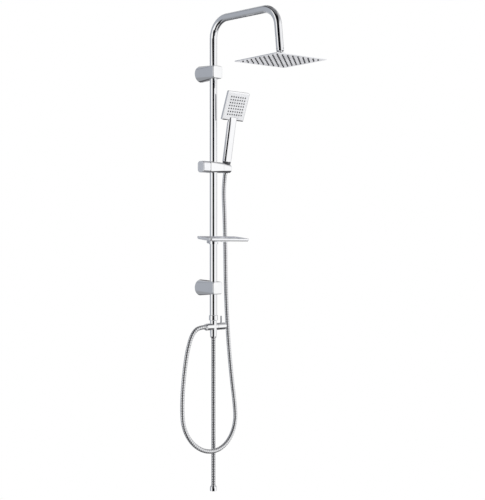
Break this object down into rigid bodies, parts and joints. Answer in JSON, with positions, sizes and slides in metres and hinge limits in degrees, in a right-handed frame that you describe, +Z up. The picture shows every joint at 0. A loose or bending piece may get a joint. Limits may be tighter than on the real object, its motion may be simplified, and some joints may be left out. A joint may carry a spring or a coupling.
{
  "type": "rainfall shower column",
  "caption": "Wall-mounted chrome shower column with a square rain head on a gooseneck arm, handset on a slider, soap dish, diverter and hoses.",
  "frame": {"origin": "centre of the upper bracket's face on the wall", "axes": "+X to the right of a person who faces the wall, +Y into the wall, +Z up along the riser"},
  "size_m": [0.2613, 0.4783, 1.553],
  "materials": {
    "chrome": "bright chrome plate",
    "polished_steel": "polished stainless steel",
    "chromed_plastic": "chrome-plated ABS",
    "spray_face": "satin silver plastic",
    "hose_metal": "interlocked chromed strip",
    "brass": "machined",
    "steel": "plain stainless steel",
    "silicone": "matte silicone",
    "rubber": "matte",
    "acetal": "moulded"
  },
  "bodies": {
    "column": {"riser_tube": "chrome", "gooseneck_tube": "chrome", "joint_nipple": "brass", "joint_seals": "rubber", "upper_wall_plate": "steel", "upper_bracket_body": "chrome", "upper_bracket_bush": "acetal", "upper_bracket_cap": "chrome", "lower_wall_plate": "steel", "lower_bracket_body": "chrome", "lower_bracket_bush": "acetal", "lower_bracket_cap": "chrome", "bracket_grub_screws": "steel", "ball_spud": "chrome", "riser_union_nut": "chrome", "riser_seal": "rubber", "diverter_body": "chrome", "diverter_cartridge": "brass", "outlet_nut": "chrome", "outlet_washer": "rubber", "supply_top_nut": "chrome", "supply_washer": "rubber", "supply_hose": "hose_metal", "supply_end_nut": "chrome", "supply_end_washer": "rubber", "handset_hose": "hose_metal"},
    "head_yoke_fore": {"ball_seat_upper": "acetal"},
    "head_yoke_side": {"ball_seat_lower": "acetal"},
    "rain_head": {"head_socket": "chrome", "head_collar": "chrome", "rain_shell": "polished_steel", "rain_face": "polished_steel", "rain_mat": "silicone", "rain_nozzles": "silicone"},
    "slider": {"slider_body": "chromed_plastic", "slider_bush": "acetal", "cradle_washer": "steel"},
    "knob": {"slider_knob": "chromed_plastic", "knob_stud": "steel"},
    "cradle": {"cradle": "chromed_plastic", "cradle_screw": "steel"},
    "hose_end": {"hose_ferrule": "chrome"},
    "handset": {"handset_shell": "chromed_plastic", "handset_face": "spray_face", "handset_nozzles": "silicone", "handset_washer": "rubber", "hose_cone_nut": "chromed_plastic"},
    "dish": {"soap_dish": "chromed_plastic", "dish_clamp": "chromed_plastic", "dish_screws": "steel", "dish_thumbscrew": "chrome"},
    "lever": {"diverter_spindle": "brass", "diverter_handle": "chrome", "lever_pin": "steel"}
  },
  "joints": [
    {"name": "head_tilt_fore", "type": "hinge", "parent": "column", "child": "head_yoke_fore", "pos_m": [0, -0.36794, 0.02034], "axis": [1, 0, 0], "range_deg": [-15, 15]},
    {"name": "head_tilt_side", "type": "hinge", "parent": "head_yoke_fore", "child": "head_yoke_side", "pos_m": [0, -0.36794, 0.02034], "axis": [0, 1, 0], "range_deg": [-15, 15]},
    {"name": "head_spin", "type": "hinge", "parent": "head_yoke_side", "child": "rain_head", "pos_m": [0, -0.36794, 0.02034], "axis": [0, 0, 1], "continuous": true},
    {"name": "slider_slide", "type": "slide", "parent": "column", "child": "slider", "axis": [0, 0, 1], "range_m": [-0.16, 0.08], "deforming": ["handset_hose"]},
    {"name": "knob_turn", "type": "hinge", "parent": "slider", "child": "knob", "pos_m": [-0.025, -0.062, -0.3105], "axis": [-1, 0, 0], "range_deg": [0, 180]},
    {"name": "cradle_tilt", "type": "hinge", "parent": "slider", "child": "cradle", "pos_m": [0.031, -0.062, -0.3105], "axis": [1, 0, 0], "range_deg": [0, 20], "deforming": ["handset_hose"]},
    {"name": "handset_lift", "type": "slide", "parent": "cradle", "child": "hose_end", "axis": [0, -0.1822, 0.9833], "range_m": [0, 0.06], "deforming": ["handset_hose"]},
    {"name": "handset_swivel", "type": "hinge", "parent": "hose_end", "child": "handset", "pos_m": [0.056, -0.062, -0.3105], "axis": [0, -0.1822, 0.9833], "range_deg": [0, 100]},
    {"name": "dish_slide", "type": "slide", "parent": "column", "child": "dish", "axis": [0, 0, 1], "range_m": [-0.1, 0.03]},
    {"name": "diverter_turn", "type": "hinge", "parent": "column", "child": "lever", "pos_m": [0.0345, -0.062, -0.832], "axis": [1, 0, 0], "range_deg": [0, 90]}
  ]
}
